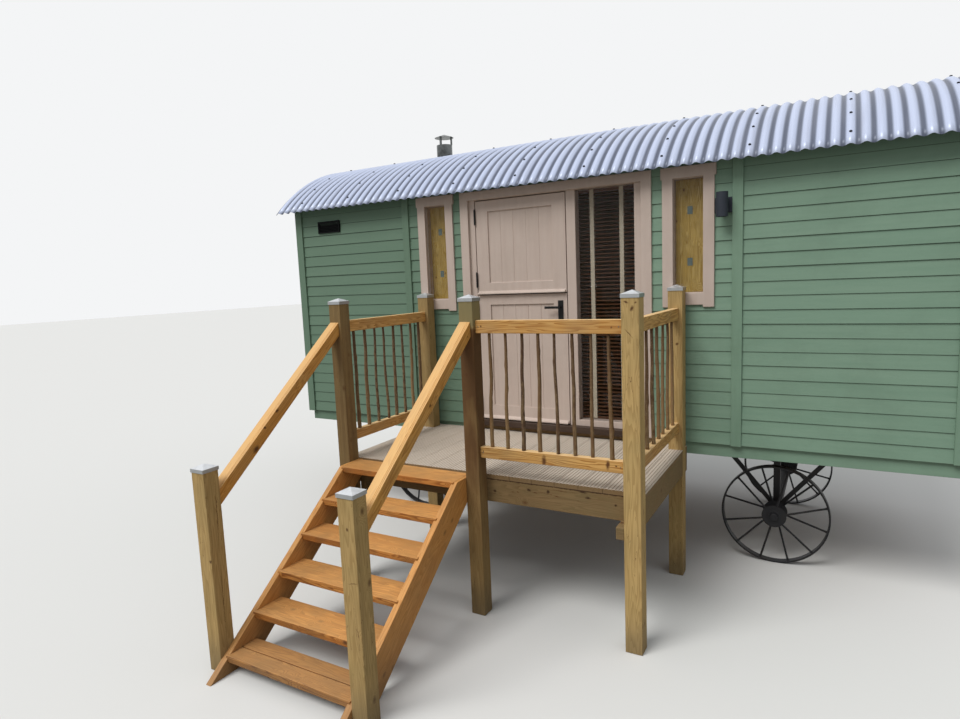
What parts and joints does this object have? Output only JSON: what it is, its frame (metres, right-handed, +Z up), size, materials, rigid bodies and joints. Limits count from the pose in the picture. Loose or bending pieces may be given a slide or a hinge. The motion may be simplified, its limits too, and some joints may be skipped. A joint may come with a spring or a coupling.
{
  "type": "shepherd's hut with entrance deck",
  "caption": "Timber cabin on spoked wheels with an arched corrugated roof, a stable door beside a sidelight, and a raised deck with open stair and stick railings.",
  "frame": {"origin": "centre of the footprint box on the ground", "axes": "+X to the right along the hut, +Y from the door side to the back, +Z up"},
  "size_m": [5.3, 4.5752, 3.585],
  "materials": {
    "black_steel": "satin black paint",
    "black_iron": "satin black paint",
    "floor_wood": "plain boards",
    "lining_wood": "plain boards",
    "sage_boards": "eggshell sage green paint",
    "sage_trim": "eggshell sage green paint",
    "taupe_joinery": "eggshell pinkish taupe paint",
    "dark_hardwood": "oiled",
    "black_ironmongery": "satin black",
    "clear_glass": "clear",
    "varnished_pine": "satin varnish",
    "blind_wood": "satin stain",
    "black_plastic": "matte",
    "anthracite_metal": "matte",
    "flue_steel": "brushed",
    "roof_steel": "matte coated steel sheet",
    "treated_pine": "sawn, treated",
    "cap_metal": "satin",
    "deck_wood": "grooved, weathered",
    "golden_pine": "planed, oiled",
    "hazel_bark": "rough bark",
    "tread_pine": "planed, oiled"
  },
  "bodies": {
    "hut": {"chassis_frame": "black_steel", "floor": "floor_wood", "base_boards": "sage_boards", "front_wall_left": "sage_boards", "front_wall_right": "sage_boards", "front_wall_over_door": "sage_boards", "back_wall": "sage_boards", "left_end_wall": "sage_boards", "right_end_wall": "sage_boards", "roof_lining": "lining_wood", "roof_sheet": "roof_steel", "corner_trims": "sage_trim", "wall_battens": "sage_trim", "door_frame": "taupe_joinery", "door_architrave": "taupe_joinery", "threshold": "dark_hardwood", "frame_hinges": "black_ironmongery", "window_frames": "taupe_joinery", "window_architraves": "taupe_joinery", "window_glass": "clear_glass", "window_shutters": "varnished_pine", "venetian_blind": "blind_wood", "wall_vent": "black_plastic", "wall_lamp": "anthracite_metal", "flue_pipe": "flue_steel", "flue_cowl": "flue_steel", "axle_left": "black_steel", "axle_right": "black_steel", "deck_posts": "treated_pine", "newel_posts": "treated_pine", "post_caps": "cap_metal", "deck_frame": "treated_pine", "deck_boards": "deck_wood", "deck_rails": "golden_pine", "rail_sticks": "hazel_bark", "stair_strings": "golden_pine", "stair_treads": "tread_pine", "stair_handrails": "golden_pine"},
    "top_leaf": {"door_top_leaf": "taupe_joinery", "top_leaf_hinges": "black_ironmongery"},
    "bottom_leaf": {"door_bottom_leaf": "taupe_joinery", "bottom_leaf_hinges": "black_ironmongery", "door_handle": "black_ironmongery"},
    "lever": {"door_lever": "black_ironmongery"},
    "wheel_front_left": {"wheel_front_left": "black_iron"},
    "wheel_front_right": {"wheel_front_right": "black_iron"},
    "wheel_back_left": {"wheel_back_left": "black_iron"},
    "wheel_back_right": {"wheel_back_right": "black_iron"}
  },
  "joints": [
    {"name": "top_leaf_hinge", "type": "hinge", "parent": "hut", "child": "top_leaf", "pos_m": [-0.6295, 0.10705, 2.3], "axis": [0, 0, 1], "range_deg": [-110, 0]},
    {"name": "bottom_leaf_hinge", "type": "hinge", "parent": "hut", "child": "bottom_leaf", "pos_m": [-0.6295, 0.10705, 1.4], "axis": [0, 0, 1], "range_deg": [-110, 0]},
    {"name": "lever_turn", "type": "hinge", "parent": "bottom_leaf", "child": "lever", "pos_m": [0.067, 0.09455, 1.854], "axis": [0, 1, 0], "range_deg": [-40, 0], "stiffness_Nm_per_rad": 1.5, "springref_deg": 20.05},
    {"name": "wheel_front_left_spin", "type": "hinge", "parent": "hut", "child": "wheel_front_left", "pos_m": [-1.494, 0.48855, 0.35], "axis": [0, 1, 0], "continuous": true},
    {"name": "wheel_front_right_spin", "type": "hinge", "parent": "hut", "child": "wheel_front_right", "pos_m": [1.494, 0.48855, 0.35], "axis": [0, 1, 0], "continuous": true},
    {"name": "wheel_back_left_spin", "type": "hinge", "parent": "hut", "child": "wheel_back_left", "pos_m": [-1.494, 1.78055, 0.35], "axis": [0, 1, 0], "continuous": true},
    {"name": "wheel_back_right_spin", "type": "hinge", "parent": "hut", "child": "wheel_back_right", "pos_m": [1.494, 1.78055, 0.35], "axis": [0, 1, 0], "continuous": true}
  ]
}
